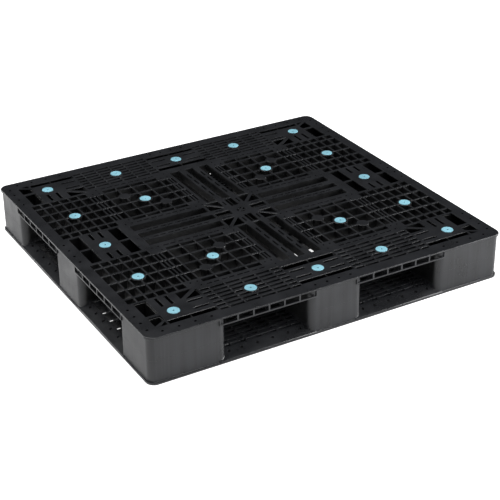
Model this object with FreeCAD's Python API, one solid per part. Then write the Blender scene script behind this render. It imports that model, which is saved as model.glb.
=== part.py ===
import FreeCAD, Part
import math
import os

# Plastic block pallet: an upper and a lower moulding, welded at mid height of nine hollow
# posts, with round anti-slip grommets pressed into the load deck. Millimetres, +Z up,
# origin at the centre of the footprint on the floor, X along the longer side.

# ---- overall ----
length = 1200.0              # X
width = 1100.0               # Y
height = 150.0               # floor to load deck
deck_depth = 26.0            # each deck, outer skin to inner rib edges
skin = 4.0                   # closed areas of the decks and the posts' tops
weld_height = height / 2     # the two mouldings meet here
corner_r = 28.0              # outer vertical corners
edge_r = 3.0                 # rounded edge round each deck's outer face

# ---- posts and fork passages ----
post_mid = 185.0             # middle posts, both ways
fork_gap = 265.0             # clear width of each fork passage
post_r = 25.0                # rounded post corners that lead a fork in
post_wall = 4.5
post_rib = 4.0
post_cell = 82.0             # longest cell inside a post
rim_proud = 4.5              # the rims stand out this far from the post faces
rim_band = 8.0               # height of the rim over a post face

# ---- rims over the fork passages ----
lip = 5.0                    # upper rim's plate
flange = 4.5                 # height of the strip below the upper rim's windows
flange_depth = 6.0
rim_web = 4.0                # wall behind the upper rim's windows
rim_side = 37.0              # width of the side rims (along Y) beside the lattice
rim_front = 40.0             # width of the front and back rims (along X)
rim_side_post = 49.0         # the same over the posts
rim_front_post = 46.0
ramp_lip = 9.0               # lower rim: height of its outer face
ramp_run = 38.0              # lower rim: ramp that a truck's rollers climb
ramp_wall = 4.0              # the ramp's front and back walls
ramp_drain = 25.0            # drain holes in the ramp, from the outer face
window_end = 3.0             # rim left beside a post's rounded corner
rim_hole = 8.5               # drain holes over the posts, diameter
ramp_hole = 9.0              # drain holes in the ramps
rim_hole_y = 24.0            # from the front and back faces
rim_hole_x = 22.0            # from the side faces

# ---- load deck lattice ----
grid = 50.0                  # pitch over a fork passage
grid_end = 15.0              # least bay beside a post
main_rib = 7.5               # ribs along X
cross_rib = 5.0              # ribs along Y
side_pitch = 31.0            # ribs along Y in the side lattices
slat_pitch = 20.0            # slats in the front and back zones
slat_slot = 10.0
side_start = 18.5            # from the passage's outer edge to the side lattice
slat_start = 19.5            # from the passage's outer edge to the first slat
pad = 46.0                   # closed pads at the corners of the inner lattice
pad_hole = 6.0
pad_hole_dx = 11.0           # from the pad's centre
pad_hole_dy = 12.0
border_in = (-14.5, -3.5, 7.0)    # ribs beside the passage's inner edge
border_out = (-7.5, 5.0)     # ribs beside its outer edge
border_row = 10.0            # first open row beside the passage's inner edge
dash_w = 5.5                 # short drain slots in the narrow bands
dash_l = 18.0

# ---- arms of the deck's central cross ----
arm_gap = 28.0               # middle slot
arm_bar = 22.0               # bar each side of it
arm_band = 21.5              # closed band between the outer slot and the passage's edge
arm_root = 4.0               # from the passage's inner edge to the slots
arm_tip = 2.0                # from the slots to the passage's outer edge
brace = 7.0                  # diagonals of the centre square

# ---- hollows under the closed bars and bands of both decks ----
pocket_wall = 4.0
pocket_end = 3.0             # from a pocket's end to the line of the next rib
pocket_in = (-14.0, 3.0)     # under the band at the passage's inner edge
pocket_out = (-1.0, 14.0)    # under the band at its outer edge

# ---- pallet truck openings in the lower deck ----
wheel_margin = 10.0          # deck left beside an opening, inside the passage's edges

# ---- grommets and their seats ----
plug_r = 17.8                # head
plug_proud = 1.0             # above the deck
plug_gap = 0.4               # head to seat, radial
plug_neck_r = 12.0
neck_gap = 0.2
plug_barb_r = 15.0
plug_barb_h = 7.0
seat_depth = 8.0
seat_web = 5.0
boss_wall = 5.0
plug_share = 0.538           # outer grommets: from the outer edge, over the post's width
dimple_r = 2.5
dimple_depth = 3.0
blank_r = 19.0               # closed bosses in the lattice
blank_wall = 4.0

# ---- slots in the skin over the posts ----
# Over a corner post a slot's corners are fractions (u, v): -1 at the post's inner sides,
# 0 at the grommet and 1 at the rims.
slot_inner_x = 2.5           # where u is -1, from the passage's edge
slot_inner_y = 3.5           # where v is -1
outer_slots = [
    [(0.54, -1), (1, -1), (1, -0.07), (0.54, -0.07)],
    [(0.54, 0.07), (1, 0.07), (1, 0.88), (0.54, 0.52)],
    [(0.57, 0.69), (0.9, 1), (0.57, 1)],
    [(-1, 0.69), (0.49, 0.69), (0.49, 1), (-1, 1)],
    [(0.13, -0.965), (0.24, -0.965), (0.24, -0.4), (0.13, -0.4)],
    [(-0.186, -0.965), (-0.105, -0.965), (-0.105, -0.4), (-0.186, -0.4)],
    [(-0.945, -0.306), (-0.5, -0.306), (-0.5, -0.212), (-0.945, -0.212)],
    [(-0.945, 0.241), (-0.5, 0.241), (-0.5, 0.379), (-0.945, 0.379)],
    [(-0.918, -0.976), (-0.418, -0.976), (-0.418, -0.529)],
    [(-1, -0.882), (-1, -0.447), (-0.5, -0.447)],
]
# Over a middle post the first number is a share of half the post's width and the second is
# v, or u for a side post.
front_slots = [(-0.973, 0.973, -0.69, -0.447), (-0.973, 0.973, 0.707, 1)]
front_side_slots = [(0.357, 0.897, -0.282, -0.188), (0.357, 0.897, 0.259, 0.397)]
side_slots = [(0.043, 0.935, 0.58, 1), (0.043, 0.935, -0.736, -0.427),
              (0.5, 0.935, 0.13, 0.24), (0.5, 0.935, -0.186, -0.105)]
post_drains_x = (0.231, 0.206)    # first hole and pitch, over the post's width
post_drains_y = (0.249, 0.208)
mid_drains = (0.216, 0.649)       # over half the middle post's width

# ---- derived lines, for the quarter with +X and +Y ----
mid = post_mid / 2
end = mid + fork_gap
fork_mid = mid + fork_gap / 2
side_x = length / 2
front_y = width / 2
post_x = side_x - rim_proud
post_y = front_y - rim_proud
side_ribs = int((fork_gap / 2 - grid_end) / grid)
gap_ribs = [fork_mid + k * grid for k in range(-side_ribs, side_ribs + 1)]
bays = [mid] + gap_ribs + [end]
grid_lo = gap_ribs[0]
grid_hi = gap_ribs[-1]
lattice_x = end + side_start
lattice_y = end + slat_start
plug_x = side_x - plug_share * (side_x - end)
plug_y = front_y - plug_share * (front_y - end)
boss_r = plug_r + plug_gap + boss_wall
arm_in = arm_gap / 2
arm_mid = arm_in + arm_bar
arm_out = mid - arm_band


def rect(x0, x1, y0, y1):
    return [(x0, y0), (x1, y0), (x1, y1), (x0, y1)]


def lines(start, stop, pitch):
    """Evenly spaced lines from start to stop, as near the pitch as they come."""
    count = max(1, round((stop - start) / pitch))
    return [start + (stop - start) * k / count for k in range(count + 1)]


def cells(xs, ys, rib_x, rib_y):
    """Open cells between ribs that run along Y at xs and along X at ys."""
    found = []
    for x0, x1 in zip(xs, xs[1:]):
        for y0, y1 in zip(ys, ys[1:]):
            found.append(rect(x0 + rib_x / 2, x1 - rib_x / 2, y0 + rib_y / 2, y1 - rib_y / 2))
    return found


def four(shapes):
    """Mirror images in all four quarters."""
    return [[(sx * x, sy * y) for x, y in pts] for pts in shapes for sx in (1, -1) for sy in (1, -1)]


def left_right(shapes):
    return [[(s * x, y) for x, y in pts] for pts in shapes for s in (1, -1)]


def front_back(shapes):
    return [[(x, s * y) for x, y in pts] for pts in shapes for s in (1, -1)]


def swap(shapes):
    return [[(y, x) for x, y in pts] for pts in shapes]


def face(points):
    corners = [FreeCAD.Vector(x, y, 0) for x, y in points]
    return Part.Face(Part.makePolygon(corners + corners[:1]))


def disc(x, y, r):
    circle = Part.Circle(FreeCAD.Vector(x, y, 0), FreeCAD.Vector(0, 0, 1), r)
    return Part.Face(Part.Wire(circle.toShape()))


def rounded(x0, x1, y0, y1, radii):
    """Rectangle with its own radius at (x0,y0), (x1,y0), (x1,y1), (x0,y1)."""
    centres = [(x0, y0, 1, 1), (x1, y0, -1, 1), (x1, y1, -1, -1), (x0, y1, 1, -1)]
    edges = []
    ends = []
    for k, (x, y, sx, sy) in enumerate(centres):
        r = radii[k]
        centre = FreeCAD.Vector(x + sx * r, y + sy * r, 0)
        turn = math.radians(180 + 90 * k)
        arc = [centre + FreeCAD.Vector(r * math.cos(turn + a), r * math.sin(turn + a), 0)
               for a in (0, math.pi / 4, math.pi / 2)]
        edges.append(Part.Arc(*arc).toShape())
        ends.append((arc[0], arc[2]))
    for k in range(4):
        edges.append(Part.makeLine(ends[k][1], ends[(k + 1) % 4][0]))
    return Part.Face(Part.Wire(Part.__sortEdges__(edges)))


def prism(flat, z0, z1):
    flat = flat.copy()
    flat.translate(FreeCAD.Vector(0, 0, z0))
    return flat.extrude(FreeCAD.Vector(0, 0, z1 - z0))


def prisms(flats, z0, z1):
    return [prism(flat, z0, z1) for flat in flats]


def clip(flats, cutters):
    """Each face less the cutters that reach it."""
    found = []
    for flat in flats:
        near = [c for c in cutters if flat.BoundBox.intersect(c.BoundBox)]
        found.extend(flat.cut(near).Faces if near else [flat])
    return found


# ---- where the grommets and the closed bosses are ----
def grommet_places():
    columns = [0.0, fork_mid, plug_x]
    rows = [0.0, fork_mid, plug_y]
    skipped = [(0.0, 0.0), (0.0, fork_mid), (fork_mid, 0.0)]
    quarter = [(x, y) for x in columns for y in rows if (x, y) not in skipped]
    return sorted({(sx * x, sy * y) for x, y in quarter for sx in (1, -1) for sy in (1, -1)})


def blank_places():
    near = fork_mid - grid
    far = fork_mid + grid
    return [(sx * a, sy * a) for a in (near, far) for sx in (1, -1) for sy in (1, -1)]


# ---- posts ----
def post_outlines(inset):
    """The nine post sections, each drawn in by inset."""
    outer_r = corner_r - rim_proud
    spans = [(-post_x, -end), (-mid, mid), (end, post_x)]
    tiers = [(-post_y, -end), (-mid, mid), (end, post_y)]
    found = []
    for i, (x0, x1) in enumerate(spans):
        for j, (y0, y1) in enumerate(tiers):
            radii = [post_r] * 4
            if i != 1 and j != 1:
                radii[{(0, 0): 0, (2, 0): 1, (2, 2): 2, (0, 2): 3}[(i, j)]] = outer_r
            radii = [r - inset for r in radii]
            found.append(rounded(x0 + inset, x1 - inset, y0 + inset, y1 - inset, radii))
    return found


def post_cells(bosses):
    """Hollows of the posts: inside the walls, between the ribs and outside the bosses."""
    found = []
    for inside in post_outlines(post_wall):
        box = inside.BoundBox
        ribs = []
        for x in lines(box.XMin, box.XMax, post_cell)[1:-1]:
            ribs.append(face(rect(x - post_rib / 2, x + post_rib / 2, box.YMin - 1, box.YMax + 1)))
        for y in lines(box.YMin, box.YMax, post_cell)[1:-1]:
            ribs.append(face(rect(box.XMin - 1, box.XMax + 1, y - post_rib / 2, y + post_rib / 2)))
        found.extend(inside.cut(ribs + bosses).Faces)
    return found


def post_halves():
    """Walls and ribs of the posts, from the deck's inner side to the weld."""
    walls = []
    hollow = post_cells([])
    for outline in post_outlines(0):
        near = [c for c in hollow if outline.BoundBox.intersect(c.BoundBox)]
        walls.append(prism(outline.cut(near), -weld_height, -deck_depth))
    return walls


# ---- openings that go through a deck, outer side up at z = 0 ----
def side_lattice():
    xs = lines(lattice_x, side_x - rim_side + cross_rib / 2, side_pitch)
    return four(cells(xs, bays, cross_rib, main_rib))


def slat_zone():
    ys = lines(lattice_y, front_y - rim_front + slat_slot / 2, slat_pitch)
    return four(cells(bays, ys, cross_rib, slat_pitch - slat_slot))


def inner_lattice():
    return four(cells(gap_ribs, gap_ribs, cross_rib, main_rib))


def lattice_borders():
    """Narrow cells round the inner lattice."""
    outside = [grid_hi] + [end + d for d in border_out] + [lattice_x]
    inside = [mid + d for d in border_in] + [grid_lo]
    columns = cells(outside, gap_ribs, cross_rib, main_rib) + cells(inside, gap_ribs, cross_rib, main_rib)
    rows = cells(gap_ribs, [mid + border_row, grid_lo], cross_rib, main_rib)
    rows += cells(gap_ribs, [grid_hi, end + border_out[0]], cross_rib, main_rib)
    return four(columns + rows)


def arm_slots():
    """Long slots in the arms of the central cross."""
    outer = four([rect(arm_mid, arm_out, mid + arm_root, end - arm_tip)])
    middle = front_back([rect(-arm_in, arm_in, mid + arm_root, end - arm_tip)])
    return outer + middle + swap(outer) + swap(middle)


def wheel_openings():
    low = mid + wheel_margin
    high = end - wheel_margin
    return four([rect(low, high, low, high)])


# ---- openings in the skin only ----
def over_post(value, grommet, inner, outer):
    """Turns a fraction over a post, -1 to 1, into a place."""
    return grommet + value * (outer - grommet if value > 0 else grommet - inner)


def over_x(u):
    return over_post(u, plug_x, end + slot_inner_x, side_x - rim_side_post)


def over_y(v):
    return over_post(v, plug_y, end + slot_inner_y, front_y - rim_front_post)


def corner_slots():
    """Slots round the grommet over a corner post."""
    return four([[(over_x(u), over_y(v)) for u, v in slot] for slot in outer_slots])


def front_mid_slots():
    """Slots round the grommet over a front or back middle post."""
    whole = [rect(mid * a, mid * b, over_y(c), over_y(d)) for a, b, c, d in front_slots]
    halves = [rect(mid * a, mid * b, over_y(c), over_y(d)) for a, b, c, d in front_side_slots]
    return front_back(whole) + four(halves)


def side_mid_slots():
    """Slots round the grommet over a side middle post."""
    return four([rect(over_x(c), over_x(d), mid * a, mid * b) for a, b, c, d in side_slots])


def centre_slots():
    """The centre square: bars crossing, with braced corners."""
    out = mid - arm_root
    quarter = [
        [(arm_mid + brace, arm_mid), (out, arm_mid), (out, out - brace)],
        [(arm_mid, arm_mid + brace), (out - brace, out), (arm_mid, out)],
    ]
    tip = arm_in - brace / 2
    kite = [(brace / 2 + 0.5, 0), (arm_in, -tip + 0.5), (arm_in, tip - 0.5)]
    long_way = left_right([rect(arm_mid, out, -arm_in + 1, arm_in - 1), kite])
    return four(quarter) + long_way + swap(long_way)


def dashes():
    """Rows of short slots in the bars and bands."""
    row = []
    for x in gap_ribs[:-1]:
        for step in (0.27, 0.73):
            middle = x + grid * step
            for y in (mid - 2.0, end + 4.5, arm_in + arm_bar / 2):
                row.append(rect(middle - dash_l / 2, middle + dash_l / 2, y - dash_w / 2, y + dash_w / 2))
    bar = arm_in + arm_bar / 2
    column = [rect(bar - dash_w / 2, bar + dash_w / 2, x + 8, x + grid - 8) for x in gap_ribs[:-1]]
    near = rect(bar - dash_w / 2, bar + dash_w / 2, mid - 42, mid - 14)
    return four(row + column + [near] + swap([near]))


def drain_holes():
    """Round holes in the rims over the posts."""
    spots = []
    rim_y = front_y - rim_hole_y
    rim_x = side_x - rim_hole_x
    for k in range(4):
        spots.append((side_x - (post_drains_x[0] + k * post_drains_x[1]) * (side_x - end), rim_y))
        spots.append((rim_x, front_y - (post_drains_y[0] + k * post_drains_y[1]) * (front_y - end)))
    for share in mid_drains:
        spots.append((share * mid, rim_y))
        spots.append((rim_x, share * mid))
    return [disc(sx * x, sy * y, rim_hole / 2) for x, y in spots for sx in (1, -1) for sy in (1, -1)]


def pad_centres():
    inner = grid_lo - pad / 2
    outer = grid_hi + pad / 2
    return [(x, y) for x in (inner, outer) for y in (inner, outer)]


def pad_holes():
    found = []
    for x, y in pad_centres():
        for side_a, side_b in ((-1, 1), (1, -1), (-1, -1)):
            hole_x = x + side_a * pad_hole_dx
            hole_y = y + side_b * pad_hole_dy
            found.extend(disc(sx * hole_x, sy * hole_y, pad_hole / 2) for sx in (1, -1) for sy in (1, -1))
    return found


# ---- hollows that open on a deck's inner side ----
def pad_pockets():
    half = pad / 2 - pocket_wall
    return four([rect(x - half, x + half, y - half, y + half) for x, y in pad_centres()])


def band_pockets():
    """Under the bands along X at the passages' edges."""
    shapes = []
    for x0, x1 in zip(gap_ribs, gap_ribs[1:]):
        shapes.append(rect(x0 + pocket_end, x1 - pocket_end, mid + pocket_in[0], mid + pocket_in[1]))
        shapes.append(rect(x0 + pocket_end, x1 - pocket_end, end + pocket_out[0], end + pocket_out[1]))
    return four(shapes)


def bar_pockets():
    """Under the bars of the central cross."""
    bars = four([rect(x0 + pocket_end, x1 - pocket_end, arm_in + pocket_wall, arm_mid - pocket_wall)
                 for x0, x1 in zip(gap_ribs, gap_ribs[1:])])
    return bars + swap(bars)


# ---- rims ----
def blank_ring(z0, z1):
    """The outer sliver that a rounded edge takes off a deck's outer face."""
    radii = [corner_r] * 4
    block = prism(rounded(-side_x, side_x, -front_y, front_y, radii), z0, z1)
    top = [e for e in block.Edges if abs(e.BoundBox.ZMin - z1) < 1e-6]
    return block.cut(block.makeFillet(edge_r, top))


def rim_groove():
    """What is taken off below the rims so that the post faces lie further in."""
    whole = rounded(-side_x - 1, side_x + 1, -front_y - 1, front_y + 1, [corner_r + 1] * 4)
    ring = whole.cut(rounded(-post_x, post_x, -post_y, post_y, [corner_r - rim_proud] * 4))
    gaps = []
    for low, high in ((mid - post_r, end + post_r), (-end - post_r, post_r - mid)):
        gaps.append(face(rect(low, high, -width, width)))
        gaps.append(face(rect(-length, length, low, high)))
    return ring.cut(gaps).Faces


def rim_windows(outer_x, outer_y):
    """Hollows behind the upper rim over the fork passages, as far out as outer_x and outer_y."""
    low = mid - post_r + window_end
    high = end + post_r - window_end
    ribs = [(x - cross_rib / 2, x + cross_rib / 2) for x in gap_ribs]
    fronts = four([rect(low, high, front_y - rim_front + rim_web, outer_y)])
    fronts_ribs = four([rect(a, b, 0, outer_y + 1) for a, b in ribs])
    sides = four([rect(side_x - rim_side + rim_web, outer_x, low, high)])
    sides_ribs = four([rect(0, outer_x + 1, a, b) for a, b in ribs])
    posts = post_outlines(0)
    found = clip([face(p) for p in fronts], [face(p) for p in fronts_ribs] + posts)
    return found + clip([face(p) for p in sides], [face(p) for p in sides_ribs] + posts)


def bar_along(section, x0, x1):
    """A section drawn in (distance from the middle, z), drawn along the edge from x0 to x1."""
    corners = [FreeCAD.Vector(x0, d, z) for d, z in section]
    flat = Part.Face(Part.makePolygon(corners + corners[:1]))
    return flat.extrude(FreeCAD.Vector(x1 - x0, 0, 0))


def round_the_edges(front_shapes, side_shapes):
    """Copies of shapes made for the +Y edge and, turned, for the +X edge."""
    found = []
    for shape in front_shapes:
        found.append(shape)
        found.append(shape.mirror(FreeCAD.Vector(), FreeCAD.Vector(0, 1, 0)))
    for shape in side_shapes:
        turned = shape.copy()
        turned.rotate(FreeCAD.Vector(), FreeCAD.Vector(0, 0, 1), -90)
        found.append(turned)
        found.append(turned.mirror(FreeCAD.Vector(), FreeCAD.Vector(1, 0, 0)))
    return found


def ramp_cuts():
    """Makes the lower rim a ramp between the posts, hollow underneath and drained."""
    slope = (deck_depth - ramp_lip) / ramp_run
    low = mid - post_r
    high = end + post_r
    shapes = {}
    for name, edge in (("front", front_y), ("side", side_x)):
        wedge = [(edge + 1, -ramp_lip), (edge + 1, -deck_depth - 1), (edge - ramp_run, -deck_depth - 1),
                 (edge - ramp_run, -deck_depth), (edge, -ramp_lip)]
        outer = edge - ramp_wall
        inner = edge - ramp_run + ramp_wall
        hollow = [(outer, 0), (outer, -(ramp_lip + ramp_wall * slope - skin)),
                  (inner, -(deck_depth - ramp_wall * slope - skin)), (inner, 0)]
        made = []
        for sign in (1, -1):
            a, b = sorted((sign * low, sign * high))
            made.append(bar_along(wedge, a, b))
            for x0, x1 in zip(bays, bays[1:]):
                a, b = sorted((sign * (x0 + cross_rib / 2), sign * (x1 - cross_rib / 2)))
                made.append(bar_along(hollow, a, b))
                made.append(prism(disc((a + b) / 2, edge - ramp_drain, ramp_hole / 2), -deck_depth, 0))
        shapes[name] = made
    posts = prisms(post_outlines(0), -deck_depth - 2, 0)
    cuts = []
    for shape in round_the_edges(shapes["front"], shapes["side"]):
        near = [p for p in posts if p.BoundBox.intersect(shape.BoundBox)]
        cuts.append(shape.cut(near) if near else shape)
    return cuts


# ---- the two mouldings, drawn with the outer side up at z = 0 ----
def plate(openings):
    outer = rounded(-side_x, side_x, -front_y, front_y, [corner_r] * 4).OuterWire
    flat = Part.makeFace([outer] + [f.OuterWire for f in openings], "Part::FaceMakerBullseye")
    return prism(flat, -deck_depth, 0)


def seat(x, y):
    """What a grommet's seat takes out of its boss."""
    axis = FreeCAD.Vector(0, 0, 1)
    head = Part.makeCylinder(plug_r + plug_gap, seat_depth, FreeCAD.Vector(x, y, -seat_depth), axis)
    neck = Part.makeCylinder(plug_neck_r + neck_gap, deck_depth, FreeCAD.Vector(x, y, -deck_depth), axis)
    below = deck_depth - seat_depth - seat_web
    barb = Part.makeCylinder(plug_r + plug_gap, below, FreeCAD.Vector(x, y, -deck_depth), axis)
    return head.fuse([neck, barb])


def upper_moulding():
    grommets = grommet_places()
    bosses = [disc(x, y, boss_r) for x, y in grommets]
    blanks = [disc(x, y, blank_r) for x, y in blank_places()]
    through = side_lattice() + slat_zone() + inner_lattice() + lattice_borders() + arm_slots()
    deck = plate(clip([face(p) for p in through], bosses + blanks))
    hollows = prisms(post_cells(bosses), -deck_depth, -skin)
    pockets = pad_pockets() + band_pockets() + bar_pockets()
    hollows += prisms([face(p) for p in pockets], -deck_depth, -skin)
    hollows += prisms([disc(x, y, blank_r - blank_wall) for x, y in blank_places()], -deck_depth, -skin)
    hollows += prisms(rim_windows(side_x + 1, front_y + 1), flange - deck_depth, -lip)
    hollows += prisms(rim_windows(side_x - flange_depth, front_y - flange_depth), -deck_depth, -lip)
    hollows += prisms(rim_groove(), -deck_depth, -rim_band)
    deck = deck.cut(hollows)
    slots = corner_slots() + front_mid_slots() + side_mid_slots() + centre_slots() + dashes()
    skin_cuts = prisms(clip([face(p) for p in slots], bosses), -skin, 0)
    skin_cuts += prisms(drain_holes() + pad_holes(), -skin, 0)
    skin_cuts += [seat(x, y) for x, y in grommets]
    deck = deck.cut(skin_cuts + [blank_ring(-deck_depth, 0)])
    return deck.fuse(post_halves())


def lower_moulding():
    through = side_lattice() + slat_zone() + arm_slots() + wheel_openings()
    deck = plate([face(p) for p in through])
    hollows = prisms(post_cells([]), -deck_depth, -skin)
    pockets = band_pockets() + swap(band_pockets()) + bar_pockets()
    hollows += prisms([face(p) for p in pockets], -deck_depth, -skin)
    hollows += prisms(rim_groove(), -deck_depth, -rim_band)
    deck = deck.cut(hollows + ramp_cuts())
    deck = deck.cut(prisms(drain_holes(), -skin, 0) + [blank_ring(-deck_depth, 0)])
    return deck.fuse(post_halves())


def grommet(x, y):
    """Round rubber grommet: head, neck through the seat's web, and a barb below it."""
    neck_low = -seat_depth - seat_web
    head_top = plug_proud
    soft = 1.5
    profile = [(0, head_top - dimple_depth), (dimple_r, head_top - dimple_depth), (dimple_r, head_top),
               (plug_r - soft, head_top), (plug_r, head_top - soft), (plug_r, -seat_depth),
               (plug_neck_r, -seat_depth), (plug_neck_r, neck_low), (plug_barb_r, neck_low),
               (plug_neck_r - 2, neck_low - plug_barb_h), (0, neck_low - plug_barb_h)]
    corners = [FreeCAD.Vector(r, 0, z) for r, z in profile]
    flat = Part.Face(Part.makePolygon(corners + corners[:1]))
    body = flat.revolve(FreeCAD.Vector(), FreeCAD.Vector(0, 0, 1), 360)
    body.translate(FreeCAD.Vector(x, y, height))
    return body


def main():
    os.makedirs("parts", exist_ok=True)
    upper = upper_moulding()
    upper.translate(FreeCAD.Vector(0, 0, height))
    lower = lower_moulding().mirror(FreeCAD.Vector(), FreeCAD.Vector(0, 0, 1))
    nodes = {"upper_moulding": upper, "lower_moulding": lower}
    for number, (x, y) in enumerate(grommet_places(), 1):
        nodes[f"deck_grommet_{number:02d}"] = grommet(x, y)
    for name, shape in nodes.items():
        solids = shape.Solids
        print(name, "solids", len(solids), "valid", shape.isValid(), "litres", round(shape.Volume / 1e6, 3))
        if len(solids) != 1:
            raise ValueError(name + " is not one solid")
        solids[0].exportStep("parts/" + name + ".step")


main()
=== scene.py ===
import math

import bmesh
import bpy
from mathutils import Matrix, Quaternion, Vector


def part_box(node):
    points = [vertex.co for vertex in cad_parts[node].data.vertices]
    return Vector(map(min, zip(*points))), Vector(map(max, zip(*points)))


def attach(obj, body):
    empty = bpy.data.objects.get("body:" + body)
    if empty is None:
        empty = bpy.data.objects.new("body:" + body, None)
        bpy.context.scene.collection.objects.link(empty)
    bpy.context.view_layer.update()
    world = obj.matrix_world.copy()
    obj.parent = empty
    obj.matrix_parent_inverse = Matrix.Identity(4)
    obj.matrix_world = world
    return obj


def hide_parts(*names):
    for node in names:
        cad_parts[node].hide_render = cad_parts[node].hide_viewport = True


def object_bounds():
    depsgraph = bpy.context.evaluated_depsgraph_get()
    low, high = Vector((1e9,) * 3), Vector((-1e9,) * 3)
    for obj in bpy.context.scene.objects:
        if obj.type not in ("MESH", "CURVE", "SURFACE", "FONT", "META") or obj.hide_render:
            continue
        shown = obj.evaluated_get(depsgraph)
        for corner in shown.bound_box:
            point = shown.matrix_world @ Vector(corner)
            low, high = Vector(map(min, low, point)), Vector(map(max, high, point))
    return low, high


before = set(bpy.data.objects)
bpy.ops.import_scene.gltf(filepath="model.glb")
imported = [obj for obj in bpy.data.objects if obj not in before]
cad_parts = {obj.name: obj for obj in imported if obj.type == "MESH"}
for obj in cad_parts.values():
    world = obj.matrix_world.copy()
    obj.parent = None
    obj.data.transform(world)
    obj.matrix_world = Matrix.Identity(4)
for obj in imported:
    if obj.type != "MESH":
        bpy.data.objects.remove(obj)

bl_info = {
    "name": "Plastic Pallet",
    "version": (1, 0, 0),
    "blender": (4, 5, 0),
    "location": "View3D > Sidebar > Pallet",
    "description": "Builds the finished look of a moulded plastic pallet round its fixed frame",
    "category": "Object",
}

MM = 0.001
CAD_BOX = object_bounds()
UPPER = "upper_moulding"
LOWER = "lower_moulding"
GROMMETS = sorted(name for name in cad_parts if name.startswith("deck_grommet"))
WELD_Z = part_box(UPPER)[0].z
DECK_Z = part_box(UPPER)[1].z

MERGE = 0.002 * MM                  # doubles in the CAD meshes lie closer than this
ON_PLANE = 0.01 * MM                # a vertex this near a plane is on it
SHARP = math.radians(35)            # edges sharper than this are rounded
SHORTEST = 1.3                      # times the rounding: edges shorter than this stay sharp
LIP_LOW, LIP_HIGH = 7.5 * MM, 9.5 * MM      # the lower rim's upper edge lies between these
POST_CORNER, PALLET_CORNER = 25 * MM, 23.5 * MM
POSTS = 9

SEAT_DEPTH = 8 * MM                 # grommets: deck to the underside of the head
SEAT_WEB = 5 * MM                   # length of the neck
NECK_R, BARB_R, BARB_TIP_R = 12 * MM, 14.6 * MM, 10.2 * MM
BARB_STEP = 0.4 * MM


# ---------------------------------------------------------------- settings
class PalletPlasticSettings(bpy.types.PropertyGroup):
    """Finish of the two mouldings."""

    colour: bpy.props.FloatVectorProperty(
        name="Colour", description="Pigment of the pallet plastic", subtype="COLOR", size=4,
        default=(0.0112, 0.0118, 0.0134, 1.0), min=0.0, max=1.0)
    pale_colour: bpy.props.FloatVectorProperty(
        name="Pale Colour", description="Plastic where flow marks and rubbing lighten it", subtype="COLOR",
        size=4, default=(0.027, 0.0285, 0.0325, 1.0), min=0.0, max=1.0)
    roughness: bpy.props.FloatProperty(
        name="Roughness", description="Mean surface roughness", default=0.30, min=0.0, max=1.0)
    # painted shade: a near-black colour laid on the walls inside recesses and openings, in place of the shade
    # that falls there
    recess_shade_colour: bpy.props.FloatVectorProperty(
        name="Recess Shade Colour", description="Painted shade on the inner walls of recesses and openings",
        subtype="COLOR", size=4, default=(0.0018, 0.0020, 0.0023, 1.0), min=0.0, max=1.0)
    recess_roughness: bpy.props.FloatProperty(
        name="Recess Roughness", description="Extra roughness of those walls", default=0.12, min=0.0, max=1.0)
    grain: bpy.props.FloatProperty(
        name="Grain", description="Pitch of the mould's etched grain", subtype="DISTANCE", unit="LENGTH",
        default=1.1 * MM, min=0.1 * MM)
    edge: bpy.props.FloatProperty(
        name="Edge Radius", description="Rounding of every moulded edge", subtype="DISTANCE", unit="LENGTH",
        default=0.7 * MM, min=0.0)
    base_edge: bpy.props.FloatProperty(
        name="Base Edge Radius", description="Rounding of the lower deck's outer upper edge",
        subtype="DISTANCE", unit="LENGTH", default=2.2 * MM, min=0.1 * MM)


class PalletWeldSettings(bpy.types.PropertyGroup):
    """Bead squeezed out where the two mouldings are welded."""

    thickness: bpy.props.FloatProperty(
        name="Bead Thickness", description="Diameter of the squeezed-out bead", subtype="DISTANCE",
        unit="LENGTH", default=1.2 * MM, min=0.1 * MM)
    proud: bpy.props.FloatProperty(
        name="Bead Height", description="How far the trimmed bead stands out from a post", subtype="DISTANCE",
        unit="LENGTH", default=0.25 * MM, min=0.0)
    wander: bpy.props.FloatProperty(
        name="Bead Wander", description="How far the bead strays from a straight line", subtype="DISTANCE",
        unit="LENGTH", default=0.12 * MM, min=0.0)


class PalletGrommetSettings(bpy.types.PropertyGroup):
    """The anti-slip grommets."""

    colour: bpy.props.FloatVectorProperty(
        name="Colour", description="Pigment of the grommet rubber", subtype="COLOR", size=4,
        default=(0.255, 0.535, 0.640, 1.0), min=0.0, max=1.0)
    # painted shade: a dark colour for the dimple and for the part below the deck, in place of the shade in
    # the hole and the seat
    seat_and_dimple_shade: bpy.props.FloatVectorProperty(
        name="Seat Shade", description="Painted shade in the dimple and below the deck", subtype="COLOR", size=4,
        default=(0.030, 0.045, 0.052, 1.0), min=0.0, max=1.0)
    dimple: bpy.props.FloatProperty(
        name="Dimple", description="Diameter of the gate dimple in the head", subtype="DISTANCE",
        unit="LENGTH", default=6.0 * MM, min=1.0 * MM)
    dimple_depth: bpy.props.FloatProperty(
        name="Dimple Depth", description="Depth of the gate dimple", subtype="DISTANCE",
        unit="LENGTH", default=7.0 * MM, min=0.5 * MM)
    edge: bpy.props.FloatProperty(
        name="Head Edge", description="Rounding of the head's edge", subtype="DISTANCE", unit="LENGTH",
        default=1.8 * MM, min=0.1 * MM)


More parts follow.
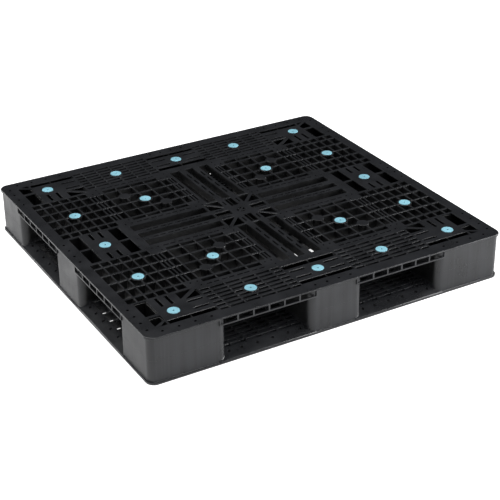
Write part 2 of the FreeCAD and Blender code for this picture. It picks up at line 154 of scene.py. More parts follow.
class PalletStageSettings(bpy.types.PropertyGroup):
    """Camera, floor and lights."""

    azimuth: bpy.props.FloatProperty(
        name="Azimuth", description="Camera's direction round the pallet", subtype="ANGLE", unit="ROTATION",
        default=math.radians(-29.58))
    elevation: bpy.props.FloatProperty(
        name="Elevation", description="Camera's height above the horizon", subtype="ANGLE", unit="ROTATION",
        default=math.radians(27.28))
    distance: bpy.props.FloatProperty(
        name="Distance", description="Camera to the middle of the pallet", subtype="DISTANCE", unit="LENGTH",
        default=4.212, min=0.5)
    lens: bpy.props.FloatProperty(
        name="Lens", description="Focal length", subtype="DISTANCE_CAMERA", unit="CAMERA",
        default=95.38, min=1.0)
    aim: bpy.props.FloatVectorProperty(
        name="Aim", description="Point that the camera looks at", subtype="TRANSLATION", unit="LENGTH",
        default=(-0.0434, -0.1298, 0.075))
    roll: bpy.props.FloatProperty(
        name="Roll", description="Camera's tilt about its own axis", subtype="ANGLE", unit="ROTATION",
        default=math.radians(-0.417))
    floor_colour: bpy.props.FloatVectorProperty(
        name="Floor Colour", description="Colour of the studio floor", subtype="COLOR", size=4,
        default=(0.86, 0.86, 0.86, 1.0), min=0.0, max=1.0)
    overhead: bpy.props.FloatProperty(
        name="Overhead Light", description="Power of the large overhead light", subtype="POWER",
        unit="POWER",
        default=165.0, min=0.0)
    key: bpy.props.FloatProperty(
        name="Key Light", description="Power of the large light low at the right front", subtype="POWER",
        unit="POWER", default=180.0, min=0.0)
    side: bpy.props.FloatProperty(
        name="Side Light", description="Power of the low light at the right", subtype="POWER", unit="POWER",
        default=45.0, min=0.0)
    rim: bpy.props.FloatProperty(
        name="Rim Light", description="Power of the low light at the back left", subtype="POWER",
        unit="POWER", default=62.0, min=0.0)
    strip: bpy.props.FloatProperty(
        name="Strip Light", description="Power of the long thin light above the front",
        subtype="POWER", unit="POWER", default=75.0, min=0.0)
    floor_glow: bpy.props.FloatProperty(
        name="Floor Glow", description="Light that the floor gives of its own, as a lit table does",
        default=0.15, min=0.0)
    floor_seen: bpy.props.FloatProperty(
        name="Floor White", description="Extra white that only the camera sees on the floor",
        default=0.55, min=0.0)


# ---------------------------------------------------------------- workshop helpers
def solo(piece):
    """Leave only this piece selected and active."""
    bpy.ops.object.select_all(action="DESELECT")
    piece.hide_set(False)
    piece.select_set(True)
    bpy.context.view_layer.objects.active = piece


def start_edit(piece, mode="FACE"):
    solo(piece)
    bpy.ops.object.mode_set(mode="EDIT")
    bpy.ops.mesh.select_mode(type=mode)
    bpy.ops.mesh.select_all(action="DESELECT")


def pick(piece, kind, test):
    """Select exactly the parts of one kind, "faces" or "edges", that pass the test."""
    mesh = bmesh.from_edit_mesh(piece.data)
    for part in list(mesh.faces) + list(mesh.edges) + list(mesh.verts):
        part.select = False
    for part in getattr(mesh, kind):
        if test(part):
            part.select_set(True)
    mesh.select_flush_mode()
    bmesh.update_edit_mesh(piece.data)


def end_edit():
    bpy.ops.object.mode_set(mode="OBJECT")


def settle(piece):
    """Put the piece's place into its mesh."""
    solo(piece)
    bpy.ops.object.transform_apply(location=True, rotation=True, scale=True)


def apply_all(piece):
    solo(piece)
    for modifier in list(piece.modifiers):
        bpy.ops.object.modifier_apply(modifier=modifier.name)


def hand_over(piece, slot, material, *nodes):
    """Give the piece its finish and its place in the frame."""
    piece.data.materials.clear()
    piece.data.materials.append(material)
    if nodes:
        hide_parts(*nodes)
    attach(piece, "root")


# ---------------------------------------------------------------- shader groups
def socket(tree, name, kind, side, default=None):
    made = tree.interface.new_socket(name=name, in_out=side, socket_type=kind)
    if default is not None:
        made.default_value = default


def node(tree, kind, place, **values):
    made = tree.nodes.new(kind)
    made.location = place
    for key, value in values.items():
        setattr(made, key, value)
    return made


def math_node(tree, operation, place, a, b=None, clamp=False):
    made = node(tree, "ShaderNodeMath", place, operation=operation, use_clamp=clamp)
    for index, value in enumerate((a, b)):
        if value is None:
            continue
        if isinstance(value, (int, float)):
            made.inputs[index].default_value = value
        else:
            tree.links.new(value, made.inputs[index])
    return made.outputs[0]


def ramp_node(tree, place, value, low, high, low_to=0.0, high_to=1.0):
    made = node(tree, "ShaderNodeMapRange", place, interpolation_type="SMOOTHSTEP")
    tree.links.new(value, made.inputs["Value"])
    made.inputs["From Min"].default_value = low
    made.inputs["From Max"].default_value = high
    made.inputs["To Min"].default_value = low_to
    made.inputs["To Max"].default_value = high_to
    return made.outputs["Result"]


def noise_node(tree, place, vector, scale, detail=2.0, rough=0.5):
    made = node(tree, "ShaderNodeTexNoise", place)
    made.inputs["Scale"].default_value = scale
    made.inputs["Detail"].default_value = detail
    made.inputs["Roughness"].default_value = rough
    tree.links.new(vector, made.inputs["Vector"])
    return made.outputs["Fac"]


def stretched(tree, place, vector, scale):
    made = node(tree, "ShaderNodeMapping", place)
    made.inputs["Scale"].default_value = scale
    tree.links.new(vector, made.inputs["Vector"])
    return made.outputs["Vector"]


def new_group(name, inputs, outputs):
    tree = bpy.data.node_groups.new(name, "ShaderNodeTree")
    for label, kind, default in inputs:
        socket(tree, label, kind, "INPUT", default)
    for label, kind in outputs:
        socket(tree, label, kind, "OUTPUT")
    source = node(tree, "NodeGroupInput", (-900, 0))
    sink = node(tree, "NodeGroupOutput", (900, 0))
    return tree, source, sink


def mould_grain_group():
    """Etched mould grain: a height for bump and a slow mottle that shifts the roughness."""
    tree, source, sink = new_group(
        "Mould Grain",
        [("Vector", "NodeSocketVector", None), ("Grains Per Metre", "NodeSocketFloat", 900.0)],
        [("Height", "NodeSocketFloat"), ("Mottle", "NodeSocketFloat")])
    fine = node(tree, "ShaderNodeTexVoronoi", (-500, 200))
    tree.links.new(source.outputs["Vector"], fine.inputs["Vector"])
    tree.links.new(source.outputs["Grains Per Metre"], fine.inputs["Scale"])
    broken = noise_node(tree, (-500, -60), source.outputs["Vector"], 2600.0, 1.0)
    height = math_node(tree, "MULTIPLY", (-200, 120), fine.outputs["Distance"], 0.6)
    height = math_node(tree, "ADD", (0, 80), height, math_node(tree, "MULTIPLY", (-200, -60), broken, 0.4))
    mottle = noise_node(tree, (-500, -300), source.outputs["Vector"], 14.0, 4.0, 0.6)
    tree.links.new(height, sink.inputs["Height"])
    tree.links.new(mottle, sink.inputs["Mottle"])


def flow_marks_group():
    """Upright streaks that the melt leaves on walls: 1 where a streak is, strongest on upright faces."""
    tree, source, sink = new_group(
        "Flow Marks", [("Vector", "NodeSocketVector", None), ("Strength", "NodeSocketFloat", 1.0)],
        [("Streak", "NodeSocketFloat")])
    vector = source.outputs["Vector"]
    broad = noise_node(tree, (-300, 200), stretched(tree, (-600, 200), vector, (1, 1, 0.05)), 34.0, 2.0, 0.5)
    drawn = stretched(tree, (-600, -60), vector, (1, 1, 0.02))
    narrow = noise_node(tree, (-300, -60), drawn, 170.0, 3.0, 0.6)
    mixed = math_node(tree, "ADD", (0, 100), math_node(tree, "MULTIPLY", (-100, 200), broad, 0.55),
                      math_node(tree, "MULTIPLY", (-100, -60), narrow, 0.45))
    streak = ramp_node(tree, (200, 100), mixed, 0.40, 0.64)
    geometry = node(tree, "ShaderNodeNewGeometry", (-600, -320))
    split = node(tree, "ShaderNodeSeparateXYZ", (-400, -320))
    tree.links.new(geometry.outputs["Normal"], split.inputs[0])
    level = math_node(tree, "ABSOLUTE", (-200, -320), split.outputs["Z"])
    upright = math_node(tree, "SUBTRACT", (0, -320), 1.0, level, clamp=True)
    weighed = math_node(tree, "MULTIPLY", (400, 60), streak, upright)
    weighed = math_node(tree, "MULTIPLY", (600, 60), weighed, source.outputs["Strength"])
    tree.links.new(weighed, sink.inputs["Streak"])


def handling_group():
    """Scuffs: short crossing scratches and rubbed patches."""
    tree, source, sink = new_group(
        "Handling Scuffs", [("Vector", "NodeSocketVector", None), ("Amount", "NodeSocketFloat", 0.4)],
        [("Scuff", "NodeSocketFloat")])
    vector = source.outputs["Vector"]
    along = noise_node(tree, (-300, 240), stretched(tree, (-600, 240), vector, (0.06, 1, 1)), 420.0, 2.0, 0.6)
    across = noise_node(tree, (-300, 20), stretched(tree, (-600, 20), vector, (1, 0.05, 1)), 380.0, 2.0, 0.6)
    patches = ramp_node(tree, (-60, -200), noise_node(tree, (-300, -200), vector, 6.5, 3.0), 0.46, 0.68)
    lines = math_node(tree, "MAXIMUM", (100, 160), ramp_node(tree, (-60, 240), along, 0.66, 0.74),
                      ramp_node(tree, (-60, 20), across, 0.68, 0.76))
    scuff = math_node(tree, "MULTIPLY", (300, 60), lines, patches)
    scuff = math_node(tree, "MULTIPLY", (500, 60), scuff, source.outputs["Amount"])
    tree.links.new(scuff, sink.inputs["Scuff"])


def place_group(tree, name, place, vector, **values):
    made = node(tree, "ShaderNodeGroup", place, node_tree=bpy.data.node_groups[name])
    tree.links.new(vector, made.inputs["Vector"])
    for key, value in values.items():
        made.inputs[key.replace("_", " ")].default_value = value
    return made


def new_material(name):
    material = bpy.data.materials.new(name)
    material.use_nodes = True
    tree = material.node_tree
    tree.nodes.clear()
    shader = node(tree, "ShaderNodeBsdfPrincipled", (600, 0))
    output = node(tree, "ShaderNodeOutputMaterial", (900, 0))
    tree.links.new(shader.outputs["BSDF"], output.inputs["Surface"])
    coords = node(tree, "ShaderNodeTexCoord", (-1100, 0))
    return material, tree, shader, coords.outputs["Object"]


def mix_colour(tree, place, factor, a, b):
    made = node(tree, "ShaderNodeMix", place, data_type="RGBA")
    for socket_name, value in (("A", a), ("B", b)):
        target = [s for s in made.inputs if s.name == socket_name and s.type == "RGBA"][0]
        if hasattr(value, "is_output"):
            tree.links.new(value, target)
        else:
            target.default_value = value
    tree.links.new(factor, made.inputs["Factor"])
    return [s for s in made.outputs if s.type == "RGBA"][0]


def bump(tree, place, height, strength, distance, normal=None):
    made = node(tree, "ShaderNodeBump", place)
    made.inputs["Strength"].default_value = strength
    made.inputs["Distance"].default_value = distance
    tree.links.new(height, made.inputs["Height"])
    if normal is not None:
        tree.links.new(normal, made.inputs["Normal"])
    return made.outputs["Normal"]


def recess_shade_mask(tree, vector):
    """1 on the inner walls of recesses and openings, where shade is painted: inside the outline, above the
    ramps, below the top.
    """
    place = node(tree, "ShaderNodeSeparateXYZ", (-800, 700))
    tree.links.new(vector, place.inputs[0])
    inside = None
    for axis, half in (("X", CAD_BOX[1].x), ("Y", CAD_BOX[1].y)):
        away = math_node(tree, "ABSOLUTE", (-600, 700), place.outputs[axis])
        within = ramp_node(tree, (-400, 700), away, half - 8 * MM, half - 24 * MM)
        inside = within if inside is None else math_node(tree, "MULTIPLY", (-200, 700), inside, within)
    below = ramp_node(tree, (-400, 900), place.outputs["Z"], DECK_Z - 0.5 * MM, DECK_Z - 3 * MM)
    above = ramp_node(tree, (-400, 1100), place.outputs["Z"], 28 * MM, 40 * MM)
    between = math_node(tree, "MULTIPLY", (-200, 900), below, above)
    return math_node(tree, "MULTIPLY", (0, 700), inside, between)


def pallet_plastic(settings):
    """Black moulded polyolefin: etched grain, flow marks on the walls, light scuffs, painted shade on the
    recess walls.
    """
    material, tree, shader, vector = new_material("pallet_plastic_finish")
    grain = place_group(tree, "Mould Grain", (-800, 300), vector, Grains_Per_Metre=1.0 / settings.grain)
    flow = place_group(tree, "Flow Marks", (-800, 0), vector, Strength=1.0)
    scuff = place_group(tree, "Handling Scuffs", (-800, -300), vector, Amount=0.5)
    pale = math_node(tree, "MULTIPLY", (-500, 60), flow.outputs["Streak"], 0.55)
    rubbed = math_node(tree, "MULTIPLY", (-500, -300), scuff.outputs["Scuff"], 0.8)
    pale = math_node(tree, "ADD", (-300, 60), pale, rubbed, clamp=True)
    mottled = ramp_node(tree, (-500, 240), grain.outputs["Mottle"], 0.35, 0.7, 0.0, 0.25)
    pale = math_node(tree, "ADD", (-100, 120), pale, mottled, clamp=True)
    tint = mix_colour(tree, (150, 160), pale, tuple(settings.colour), tuple(settings.pale_colour))
    recess = recess_shade_mask(tree, vector)
    # painted shade: the recess and opening walls are turned near-black
    tint = mix_colour(tree, (350, 160), recess, tint, tuple(settings.recess_shade_colour))
    tree.links.new(tint, shader.inputs["Base Color"])
    rough = ramp_node(tree, (-300, -120), grain.outputs["Mottle"], 0.3, 0.7, settings.roughness - 0.05,
                      settings.roughness + 0.06)
    rough = math_node(tree, "ADD", (0, -120), rough,
                      math_node(tree, "MULTIPLY", (-100, -260), flow.outputs["Streak"], 0.07), clamp=True)
    rough = math_node(tree, "ADD", (200, -140), rough,
                      math_node(tree, "MULTIPLY", (100, -300), scuff.outputs["Scuff"], 0.12), clamp=True)
    rough = math_node(tree, "ADD", (400, -140), rough,
                      math_node(tree, "MULTIPLY", (300, -300), recess, settings.recess_roughness), clamp=True)
    tree.links.new(rough, shader.inputs["Roughness"])
    skin = bump(tree, (200, -420), grain.outputs["Height"], 0.25, 0.00015)
    waves = noise_node(tree, (-300, -620), stretched(tree, (-600, -620), vector, (1, 1, 0.25)), 22.0, 2.0)
    shader_normal = bump(tree, (400, -420), waves, 0.3, 0.0012, skin)
    tree.links.new(shader_normal, shader.inputs["Normal"])
    shader.inputs["IOR"].default_value = 1.5
    return material


def grommet_rubber(settings):
    """Pale blue elastomer: faint mottle, fine satin grain, painted shade in the dimple and below the deck."""
    material, tree, shader, vector = new_material("grommet_rubber_finish")
    grain = place_group(tree, "Mould Grain", (-800, 200), vector, Grains_Per_Metre=1600.0)
    scuff = place_group(tree, "Handling Scuffs", (-800, -200), vector, Amount=0.35)
    base = tuple(settings.colour)
    deep = tuple(0.82 * c for c in base[:3]) + (1.0,)
    dirty = tuple(0.55 * c + 0.03 for c in base[:3]) + (1.0,)
    shade = ramp_node(tree, (-400, 240), grain.outputs["Mottle"], 0.35, 0.65)
    tint = mix_colour(tree, (-100, 200), shade, deep, base)
    tint = mix_colour(tree, (150, 160), scuff.outputs["Scuff"], tint, dirty)
    height = node(tree, "ShaderNodeSeparateXYZ", (-400, 460))
    tree.links.new(vector, height.inputs[0])
    # painted shade: the head turns dark below the deck's level, in the dimple and in the seat
    sunk = ramp_node(tree, (-100, 460), height.outputs["Z"], DECK_Z - 0.2 * MM, DECK_Z - 2.5 * MM)
    tint = mix_colour(tree, (350, 200), sunk, tint, tuple(settings.seat_and_dimple_shade))
    tree.links.new(tint, shader.inputs["Base Color"])
    rough = ramp_node(tree, (-100, -120), grain.outputs["Mottle"], 0.3, 0.7, 0.42, 0.55)
    tree.links.new(rough, shader.inputs["Roughness"])
    tree.links.new(bump(tree, (300, -300), grain.outputs["Height"], 0.25, 0.00015), shader.inputs["Normal"])
    return material


def floor_paint(settings):
    """Pale studio floor with the faintest unevenness."""
    material, tree, shader, vector = new_material("studio_floor")
    slow = noise_node(tree, (-500, 100), vector, 1.3, 2.0)
    base = tuple(settings.floor_colour)
    paler = tuple(min(1.0, 1.02 * c) for c in base[:3]) + (1.0,)
    tree.links.new(mix_colour(tree, (0, 100), slow, base, paler), shader.inputs["Base Color"])
    shader.inputs["Roughness"].default_value = 0.75
    shader.inputs["Emission Color"].default_value = (1.0, 1.0, 1.0, 1.0)
    path = node(tree, "ShaderNodeLightPath", (0, -300))
    seen = math_node(tree, "MULTIPLY", (200, -300), path.outputs["Is Camera Ray"], settings.floor_seen)
    glow = math_node(tree, "ADD", (400, -300), seen, settings.floor_glow)
    tree.links.new(glow, shader.inputs["Emission Strength"])
    return material


def finish_named(name, maker, settings):
    return bpy.data.materials.get(name) or maker(settings)


# ---------------------------------------------------------------- mouldings
def on_base_edge(edge):
    """Whether an edge is on the outer upper edge of the lower deck's rim."""
    side_x, side_y = CAD_BOX[1].x - 0.1 * MM, CAD_BOX[1].y - 0.1 * MM
    outer = all(abs(vertex.co.x) > side_x or abs(vertex.co.y) > side_y for vertex in edge.verts)
    level = all(LIP_LOW < vertex.co.z < LIP_HIGH for vertex in edge.verts)
    return outer and level and edge.calc_face_angle(0.0) > SHARP


def is_moulded_edge(edge, radius):
    """Whether an edge is sharp, off the weld and clear of edges too short to be rounded."""
    if edge.calc_face_angle(0.0) < SHARP:
        return False
    if all(abs(vertex.co.z - WELD_Z) < ON_PLANE for vertex in edge.verts):
        return False
    return all(near.calc_length() > SHORTEST * radius for vertex in edge.verts for near in vertex.link_edges)


def rounded_moulding(source_name, piece_name, settings):
    """A clean copy of a moulding with its doubles merged and every edge rounded."""
    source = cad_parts[source_name]
    piece = bpy.data.objects.new(piece_name, source.data.copy())
    bpy.context.scene.collection.objects.link(piece)
    solo(piece)
    bpy.ops.mesh.customdata_custom_splitnormals_clear()
    bpy.ops.object.mode_set(mode="EDIT")
    bpy.ops.mesh.select_all(action="SELECT")
    bpy.ops.mesh.remove_doubles(threshold=MERGE)
    bpy.ops.mesh.dissolve_limited(angle_limit=math.radians(1.0), delimit={"NORMAL"})
    bpy.ops.mesh.select_mode(type="EDGE")
    pick(piece, "edges", on_base_edge)
    if any(edge.select for edge in bmesh.from_edit_mesh(piece.data).edges):
        bpy.ops.mesh.bevel(offset=settings.base_edge, segments=3, affect="EDGES", loop_slide=False)
    bpy.ops.mesh.select_all(action="SELECT")
    bpy.ops.mesh.quads_convert_to_tris(quad_method="BEAUTY", ngon_method="BEAUTY")
    pick(piece, "edges", lambda edge: is_moulded_edge(edge, settings.edge))
    bpy.ops.transform.edge_bevelweight(value=1.0)
    end_edit()
    edges = piece.modifiers.new("rounded edges", "BEVEL")
    edges.width = settings.edge
    edges.segments = 1
    edges.limit_method = "WEIGHT"
    edges.use_clamp_overlap = False
    apply_all(piece)
    bpy.ops.object.shade_smooth_by_angle(angle=math.radians(30))
    return piece


class PALLET_OT_upper_moulding(bpy.types.Operator):
    """Make the load deck and upper posts with rounded edges"""

    bl_idname = "pallet.upper_moulding"
    bl_label = "Upper Moulding"

    def execute(self, context):
        settings = context.scene.pallet_plastic
        piece = rounded_moulding(UPPER, "load_deck_shell", settings)
        material = finish_named("pallet_plastic_finish", pallet_plastic, settings)
        hand_over(piece, "pallet_plastic", material, UPPER)
        return {"FINISHED"}


class PALLET_OT_lower_moulding(bpy.types.Operator):
    """Make the lower deck, its ramps and lower posts with rounded edges"""

    bl_idname = "pallet.lower_moulding"
    bl_label = "Lower Moulding"

    def execute(self, context):
        settings = context.scene.pallet_plastic
        piece = rounded_moulding(LOWER, "floor_deck_shell", settings)
        material = finish_named("pallet_plastic_finish", pallet_plastic, settings)
        hand_over(piece, "pallet_plastic", material, LOWER)
        return {"FINISHED"}


# ---------------------------------------------------------------- grommets
def make_grommet(settings, low, high):
    """One grommet: head with a soft edge and a dimple, neck and barb below."""
    centre = (low + high) / 2
    head_r = (high.x - low.x) / 2
    seat_z = DECK_Z - SEAT_DEPTH
    neck_z = seat_z - SEAT_WEB
    bpy.ops.object.select_all(action="DESELECT")
    bpy.ops.mesh.primitive_cylinder_add(vertices=48, radius=head_r, depth=high.z - seat_z,
                                        location=(centre.x, centre.y, (high.z + seat_z) / 2))
    piece = bpy.context.active_object
    settle(piece)
    start_edit(piece)
    pick(piece, "faces", lambda face: face.normal.z > 0.9)
    bpy.ops.mesh.inset(thickness=head_r - settings.dimple / 2 - 6.2 * MM)
    bpy.ops.transform.translate(value=(0, 0, -0.35 * MM))
    bpy.ops.mesh.inset(thickness=5.4 * MM)
    bpy.ops.transform.translate(value=(0, 0, 0.30 * MM))
    bpy.ops.mesh.inset(thickness=0.8 * MM)
    bpy.ops.mesh.extrude_region_move(TRANSFORM_OT_translate={"value": (0, 0, -settings.dimple_depth)})
    bpy.ops.transform.resize(value=(0.72, 0.72, 1.0), center_override=(centre.x, centre.y, high.z))
    pick(piece, "faces", lambda face: face.normal.z < -0.9)
    bpy.ops.mesh.inset(thickness=head_r - NECK_R)
    bpy.ops.mesh.extrude_region_move(TRANSFORM_OT_translate={"value": (0, 0, neck_z - seat_z)})
    bpy.ops.mesh.extrude_region_move(TRANSFORM_OT_translate={"value": (0, 0, -BARB_STEP)})
    widen = BARB_R / NECK_R
    bpy.ops.transform.resize(value=(widen, widen, 1.0), center_override=(centre.x, centre.y, neck_z))
    bpy.ops.mesh.extrude_region_move(TRANSFORM_OT_translate={"value": (0, 0, low.z - neck_z + BARB_STEP)})
    taper = BARB_TIP_R / BARB_R
    bpy.ops.transform.resize(value=(taper, taper, 1.0), center_override=(centre.x, centre.y, low.z))
    end_edit()
    soft = piece.modifiers.new("soft edges", "BEVEL")
    soft.width = settings.edge
    soft.segments = 3
    soft.limit_method = "ANGLE"
    soft.angle_limit = math.radians(40)
    apply_all(piece)
    bpy.ops.object.shade_smooth_by_angle(angle=math.radians(50))
    return piece


class PALLET_OT_grommets(bpy.types.Operator):
    """Make the anti-slip grommets, each in its own seat"""

    bl_idname = "pallet.grommets"
    bl_label = "Deck Grommets"

    def execute(self, context):
        settings = context.scene.pallet_grommet
        material = finish_named("grommet_rubber_finish", grommet_rubber, settings)
        low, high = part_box(GROMMETS[0])
        first = make_grommet(settings, low, high)
        for number, name in enumerate(GROMMETS, 1):
            piece = first
            if number > 1:
                piece = first.copy()
                piece.data = first.data.copy()
                context.scene.collection.objects.link(piece)
                piece.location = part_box(name)[0] - low
                settle(piece)
            piece.name = f"grommet_{number:02d}"
            hand_over(piece, "grommet_rubber", material, name)
        return {"FINISHED"}


# ---------------------------------------------------------------- weld beads
def post_boxes():
    """The nine posts' outlines, read from the faces that meet at the weld."""
    mesh = bmesh.new()
    mesh.from_mesh(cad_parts[UPPER].data)
    bmesh.ops.remove_doubles(mesh, verts=mesh.verts, dist=MERGE)
    mesh.verts.ensure_lookup_table()
    at_weld = {v.index for v in mesh.verts if abs(v.co.z - WELD_Z) < ON_PLANE}
    boxes = []
    while at_weld:
        island = []
        queue = [at_weld.pop()]
        while queue:
            vertex = mesh.verts[queue.pop()]
            island.append(vertex.co.copy())
            for edge in vertex.link_edges:
                other = edge.other_vert(vertex).index
                if other in at_weld:
                    at_weld.discard(other)
                    queue.append(other)
        xs = [p.x for p in island]
        ys = [p.y for p in island]
        boxes.append((min(xs), max(xs), min(ys), max(ys)))
    mesh.free()
    merged = []
    for box in sorted(boxes, key=lambda b: (b[0] - b[1]) * (b[3] - b[2])):
        inside = any(o[0] <= box[0] and box[1] <= o[1] and o[2] <= box[2] and box[3] <= o[3] for o in merged)
        if not inside:
            merged.append(box)
    return sorted(merged)


def make_bead(name, box, settings):
    """A bead that follows one post's outline at the weld."""
    sunk = settings.thickness / 2 - settings.proud
    x0, x1, y0, y1 = box[0] + sunk, box[1] - sunk, box[2] + sunk, box[3] - sunk
    radius, outer_radius = POST_CORNER - sunk, PALLET_CORNER - sunk
    bpy.ops.object.select_all(action="DESELECT")
    bpy.ops.mesh.primitive_plane_add(size=1.0, location=((x0 + x1) / 2, (y0 + y1) / 2, WELD_Z))
    piece = bpy.context.active_object
    piece.name = name
    piece.scale = (x1 - x0, y1 - y0, 1.0)
    settle(piece)
    corner_post = min(abs(x0), abs(x1)) > 0.2 and min(abs(y0), abs(y1)) > 0.2
    start_edit(piece, "VERT")
    corners = [Vector((x, y, WELD_Z)) for x in (x0, x1) for y in (y0, y1)]
    mesh = bmesh.from_edit_mesh(piece.data)
    far = max(mesh.verts, key=lambda v: abs(v.co.x) + abs(v.co.y)).co.copy()
    for wanted, size in ((False, radius), (True, outer_radius if corner_post else radius)):
        mesh = bmesh.from_edit_mesh(piece.data)
        for vertex in mesh.verts:
            at_corner = any((vertex.co - corner).length < ON_PLANE for corner in corners)
            vertex.select = at_corner and ((vertex.co - far).length < ON_PLANE) == wanted
        mesh.select_flush_mode()
        bmesh.update_edit_mesh(piece.data)
        bpy.ops.mesh.bevel(offset=size, offset_type="OFFSET", segments=10, affect="VERTICES", profile=0.5)
    bpy.ops.mesh.select_all(action="SELECT")
    bpy.ops.mesh.delete(type="ONLY_FACE")
    end_edit()
    bpy.ops.object.convert(target="CURVE")
    piece.data.bevel_depth = settings.thickness / 2
    piece.data.bevel_resolution = 2
    bpy.ops.object.convert(target="MESH")
    start_edit(piece, "EDGE")
    pick(piece, "edges", lambda edge: edge.calc_length() > 30 * MM)
    bpy.ops.mesh.subdivide(number_cuts=14)
    end_edit()
    wander = bpy.data.textures.get("bead wander") or bpy.data.textures.new("bead wander", "CLOUDS")
    wander.noise_scale = 0.02
    stray = piece.modifiers.new("wander", "DISPLACE")
    stray.texture = wander
    stray.strength = settings.wander * 2
    stray.texture_coords = "LOCAL"
    apply_all(piece)
    bpy.ops.object.shade_smooth_by_angle(angle=math.radians(60))
    return piece


class PALLET_OT_weld_beads(bpy.types.Operator):
    """Lay a weld bead round each post where the mouldings meet"""

    bl_idname = "pallet.weld_beads"
    bl_label = "Weld Beads"

    def execute(self, context):
        plastic = context.scene.pallet_plastic
        material = finish_named("pallet_plastic_finish", pallet_plastic, plastic)
        boxes = post_boxes()
        if len(boxes) != POSTS:
            raise RuntimeError(f"expected {POSTS} posts at the weld, found {len(boxes)}")
        for number, box in enumerate(boxes, 1):
            bead = make_bead(f"weld_bead_{number}", box, context.scene.pallet_weld)
            hand_over(bead, "pallet_plastic", material)
        return {"FINISHED"}


# ---------------------------------------------------------------- stage
def place_camera(settings):
    data = bpy.data.cameras.new("studio_camera")
    data.sensor_width = 36.0
    data.lens = settings.lens
    data.clip_end = 100.0
    camera = bpy.data.objects.new("studio_camera", data)
    bpy.context.scene.collection.objects.link(camera)
    a, e = settings.azimuth, settings.elevation
    back = Vector((math.sin(a) * math.cos(e), -math.cos(a) * math.cos(e), math.sin(e)))
    middle = Vector((0.0, 0.0, (CAD_BOX[0].z + DECK_Z) / 2))
    camera.location = middle + back * settings.distance
    looking = Vector(settings.aim) - camera.location
    camera.rotation_mode = "QUATERNION"
    roll = Quaternion((0, 0, 1), settings.roll)
    camera.rotation_quaternion = looking.to_track_quat("-Z", "Y") @ roll
    bpy.context.scene.camera = camera


def studio_air():
    """Dim air round the set, with a white backdrop behind everything."""
    world = bpy.data.worlds.new("studio_air")
    world.use_nodes = True
    tree = world.node_tree
    dim = tree.nodes["Background"]
    dim.inputs["Color"].default_value = (0.9, 0.92, 0.95, 1.0)
    dim.inputs["Strength"].default_value = 0.04
    white = node(tree, "ShaderNodeBackground", (-200, -200))
    white.inputs["Strength"].default_value = 1.0
    white.inputs["Color"].default_value = (1.0, 1.0, 1.0, 1.0)
    path = node(tree, "ShaderNodeLightPath", (-400, 200))
    mix = node(tree, "ShaderNodeMixShader", (200, 0))
    tree.links.new(path.outputs["Is Camera Ray"], mix.inputs[0])
    tree.links.new(dim.outputs[0], mix.inputs[1])
    tree.links.new(white.outputs[0], mix.inputs[2])
    tree.links.new(mix.outputs[0], tree.nodes["World Output"].inputs["Surface"])
    return world


def area_light(name, place, target, size, power, colour=(1.0, 1.0, 1.0)):
    data = bpy.data.lights.new(name, "AREA")
    data.shape = "RECTANGLE"
    data.size, data.size_y = size
    data.energy = power
    data.color = colour
    light = bpy.data.objects.new(name, data)
    bpy.context.scene.collection.objects.link(light)
    light.location = place
    light.rotation_mode = "QUATERNION"
    light.rotation_quaternion = (Vector(target) - Vector(place)).to_track_quat("-Z", "Y")
    light.visible_camera = False


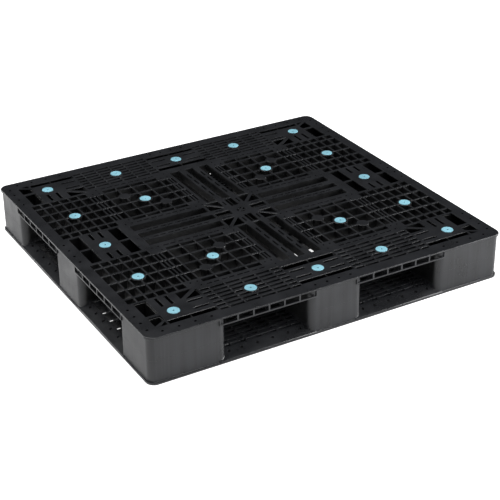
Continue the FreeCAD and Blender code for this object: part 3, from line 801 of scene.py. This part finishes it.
class PALLET_OT_stage(bpy.types.Operator):
    """Set the pale floor, the soft lights and the camera"""

    bl_idname = "pallet.stage"
    bl_label = "Studio Stage"

    def execute(self, context):
        settings = context.scene.pallet_stage
        bpy.ops.object.select_all(action="DESELECT")
        bpy.ops.mesh.primitive_plane_add(size=40.0, location=(0, 0, 0))
        floor = context.active_object
        floor.name = "studio_floor"
        floor.data.materials.append(floor_paint(settings))
        area_light("overhead_soft", (-1.3, 0.9, 4.2), (0, 0, 0), (3.0, 3.0), settings.overhead)
        area_light("key_soft", (4.0, -2.2, 1.3), (0, 0, 0.1), (3.0, 2.0), settings.key)
        area_light("right_soft", (3.6, -2.6, 0.9), (0, 0, 0.1), (2.5, 1.8), settings.side,
                   (0.95, 0.96, 1.0))
        area_light("left_soft", (-3.2, 2.6, 0.6), (0, 0, 0.1), (2.8, 1.2), settings.rim)
        area_light("front_strip", (0.5, -2.6, 3.0), (0, 0, 0.1), (5.0, 0.3), settings.strip)
        context.scene.world = studio_air()
        context.scene.view_settings.view_transform = "Standard"
        place_camera(settings)
        return {"FINISHED"}


# ---------------------------------------------------------------- panel
class PALLET_PT_sidebar(bpy.types.Panel):
    """Pallet builder"""

    bl_idname = "PALLET_PT_sidebar"
    bl_label = "Plastic Pallet"
    bl_space_type = "VIEW_3D"
    bl_region_type = "UI"
    bl_category = "Pallet"

    def draw(self, context):
        scene = context.scene
        for title, settings, operators in (
                ("Mouldings", scene.pallet_plastic, (PALLET_OT_upper_moulding, PALLET_OT_lower_moulding)),
                ("Weld", scene.pallet_weld, (PALLET_OT_weld_beads,)),
                ("Grommets", scene.pallet_grommet, (PALLET_OT_grommets,)),
                ("Stage", scene.pallet_stage, (PALLET_OT_stage,))):
            box = self.layout.box()
            box.label(text=title)
            for key in settings.bl_rna.properties.keys():
                if key not in ("rna_type", "name"):
                    box.prop(settings, key)
            for operator in operators:
                box.operator(operator.bl_idname)


SETTINGS = {
    "pallet_plastic": PalletPlasticSettings,
    "pallet_weld": PalletWeldSettings,
    "pallet_grommet": PalletGrommetSettings,
    "pallet_stage": PalletStageSettings,
}
OPERATORS = (
    PALLET_OT_stage,
    PALLET_OT_upper_moulding,
    PALLET_OT_lower_moulding,
    PALLET_OT_weld_beads,
    PALLET_OT_grommets,
)


def register():
    for cls in tuple(SETTINGS.values()) + OPERATORS + (PALLET_PT_sidebar,):
        bpy.utils.register_class(cls)
    for name, cls in SETTINGS.items():
        setattr(bpy.types.Scene, name, bpy.props.PointerProperty(type=cls))


def unregister():
    for name in SETTINGS:
        delattr(bpy.types.Scene, name)
    for cls in reversed(tuple(SETTINGS.values()) + OPERATORS + (PALLET_PT_sidebar,)):
        bpy.utils.unregister_class(cls)


def main():
    register()
    for make_group in (mould_grain_group, flow_marks_group, handling_group):
        make_group()
    bpy.ops.pallet.stage()
    bpy.ops.pallet.upper_moulding()
    bpy.ops.pallet.lower_moulding()
    bpy.ops.pallet.weld_beads()
    bpy.ops.pallet.grommets()


if __name__ == "__main__":
    main()
